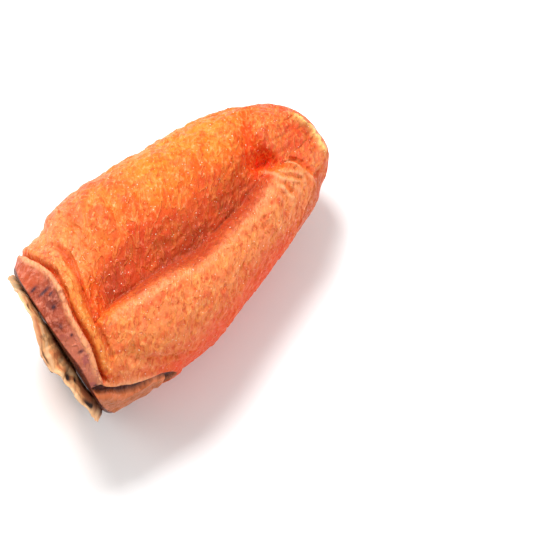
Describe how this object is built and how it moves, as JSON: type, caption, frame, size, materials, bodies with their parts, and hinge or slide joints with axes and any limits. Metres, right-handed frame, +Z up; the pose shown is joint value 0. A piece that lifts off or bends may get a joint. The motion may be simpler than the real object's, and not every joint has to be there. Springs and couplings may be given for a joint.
{
  "type": "dried persimmon",
  "caption": "Whole dried persimmon lying on its side, with five shrunken lobes, a collar of skin, a dried four-lobed calyx and a cut stem stub.",
  "frame": {"origin": "middle of the object's outer box at its base, on the surface that it rests on", "axes": "+Z up; +X along the fruit from the calyx end to the tip; +Y across it"},
  "size_m": [0.0836, 0.0458, 0.0398],
  "materials": {
    "flesh": "moist satin",
    "calyx": "dry matte",
    "stem": "rough matte"
  },
  "bodies": {
    "root": {"fruit": "flesh", "calyx": "calyx", "stem_stub": "stem"}
  },
  "joints": []
}
